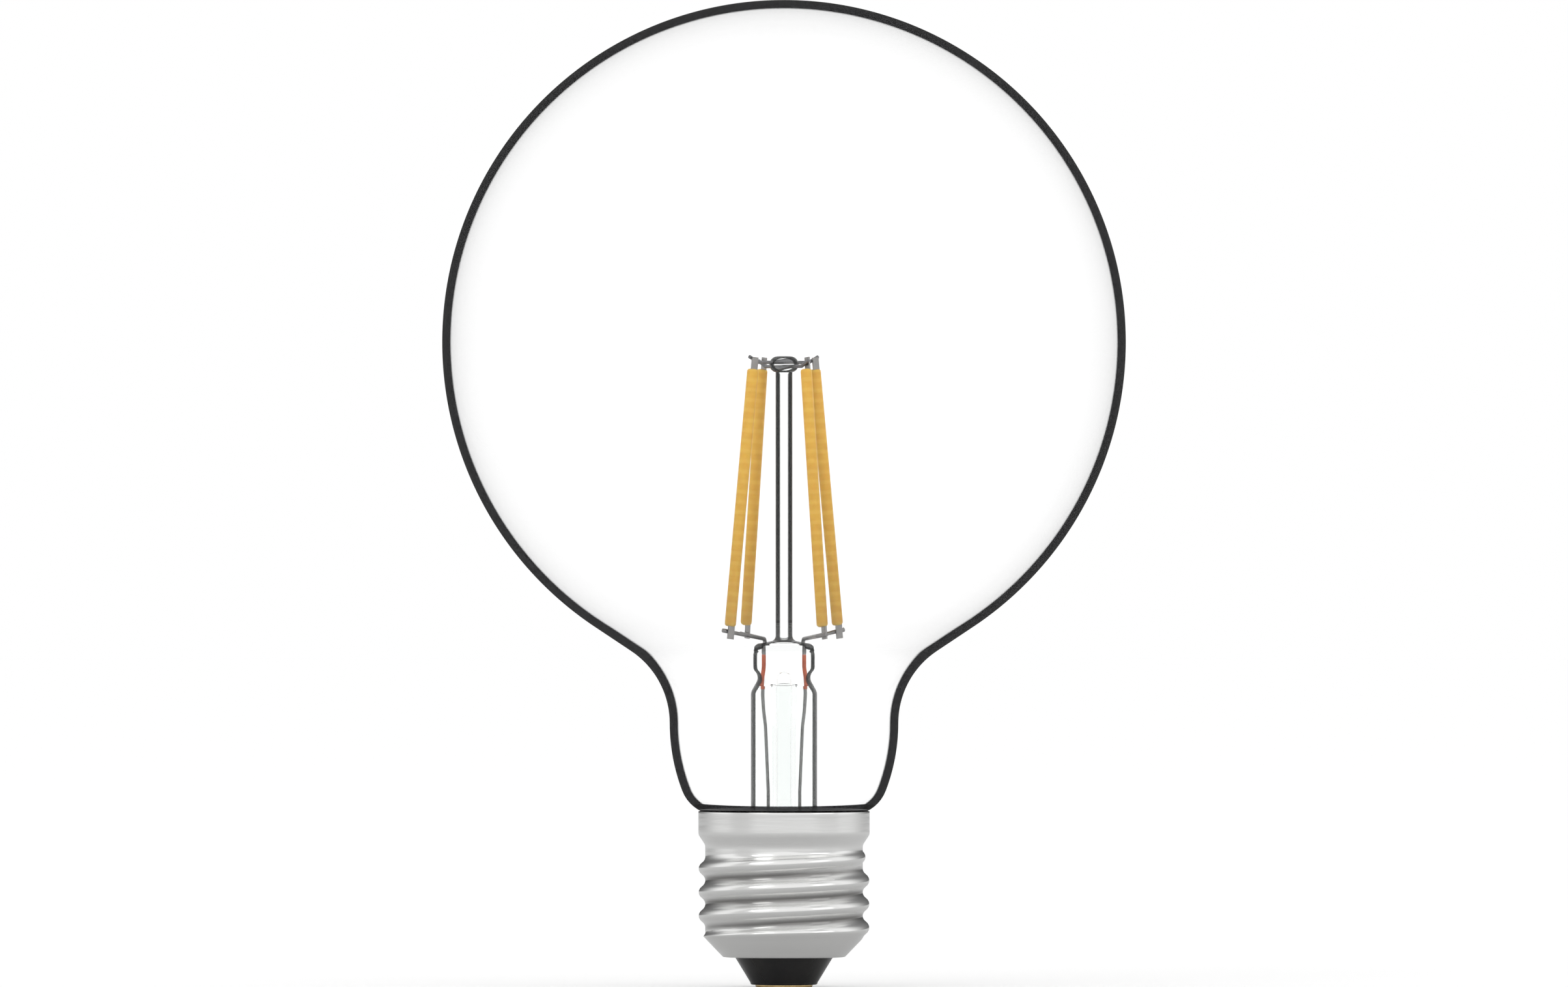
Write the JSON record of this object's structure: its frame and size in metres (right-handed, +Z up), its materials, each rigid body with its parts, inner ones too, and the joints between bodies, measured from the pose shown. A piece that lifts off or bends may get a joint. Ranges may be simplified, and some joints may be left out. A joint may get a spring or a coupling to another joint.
{
  "type": "globe light bulb",
  "caption": "Unlit clear glass globe bulb with slim phosphor-coated light rods leaning round a glass post, on a bright round-thread screw cap.",
  "frame": {"origin": "middle of the centre contact's underside, the lowest point of the upright bulb", "axes": "+Z up along the bulb's axis, from the contact to the top of the globe; +X to the right as drawn; the front faces -Y"},
  "size_m": [0.105, 0.105, 0.1515],
  "materials": {
    "clear_glass": "clear, polished",
    "stem_glass": "clear, polished",
    "cap_metal": "bright, rolled",
    "cement": "matt",
    "black_vitrite": "glossy",
    "contact_brass": "pressed",
    "solder": "satin",
    "phosphor_coat": "matt",
    "strip_ceramic": "matt",
    "light_dies": "glossy",
    "tab_steel": "plated",
    "anchor_metal": "drawn wire",
    "lead_nickel": "drawn wire",
    "seal_copper": "drawn wire",
    "tinned_wire": "drawn wire",
    "board_white": "lacquered",
    "chip_black": "moulded",
    "resistor_black": "matt",
    "can_sleeve": "shrunk sleeve",
    "ferrite": "matt",
    "enamelled_copper": "enamelled"
  },
  "bodies": {
    "root": {"anchor_wire_high": "anchor_metal", "anchor_wire_low": "anchor_metal", "bridge_rectifier": "chip_black", "cap_shell": "cap_metal", "cement_ring": "cement", "centre_contact": "contact_brass", "centre_wire": "tinned_wire", "chip_resistors": "resistor_black", "coil_core": "ferrite", "coil_winding": "enamelled_copper", "contact_solder": "solder", "driver_board": "board_white", "driver_chip": "chip_black", "filament_left_back_coat": "phosphor_coat", "filament_left_back_dies": "light_dies", "filament_left_back_foot_tab": "tab_steel", "filament_left_back_strip": "strip_ceramic", "filament_left_back_top_tab": "tab_steel", "filament_left_front_coat": "phosphor_coat", "filament_left_front_dies": "light_dies", "filament_left_front_foot_tab": "tab_steel", "filament_left_front_strip": "strip_ceramic", "filament_left_front_top_tab": "tab_steel", "filament_right_back_coat": "phosphor_coat", "filament_right_back_dies": "light_dies", "filament_right_back_foot_tab": "tab_steel", "filament_right_back_strip": "strip_ceramic", "filament_right_back_top_tab": "tab_steel", "filament_right_front_coat": "phosphor_coat", "filament_right_front_dies": "light_dies", "filament_right_front_foot_tab": "tab_steel", "filament_right_front_strip": "strip_ceramic", "filament_right_front_top_tab": "tab_steel", "glass_globe": "clear_glass", "insulator": "black_vitrite", "left_branch": "lead_nickel", "left_lead": "lead_nickel", "left_seal_wire": "seal_copper", "left_tail": "tinned_wire", "post": "stem_glass", "pump_tube": "stem_glass", "right_branch": "lead_nickel", "right_lead": "lead_nickel", "right_seal_wire": "seal_copper", "right_tail": "tinned_wire", "side_solder": "solder", "smoothing_capacitor": "can_sleeve", "stem": "stem_glass"}
  },
  "joints": []
}
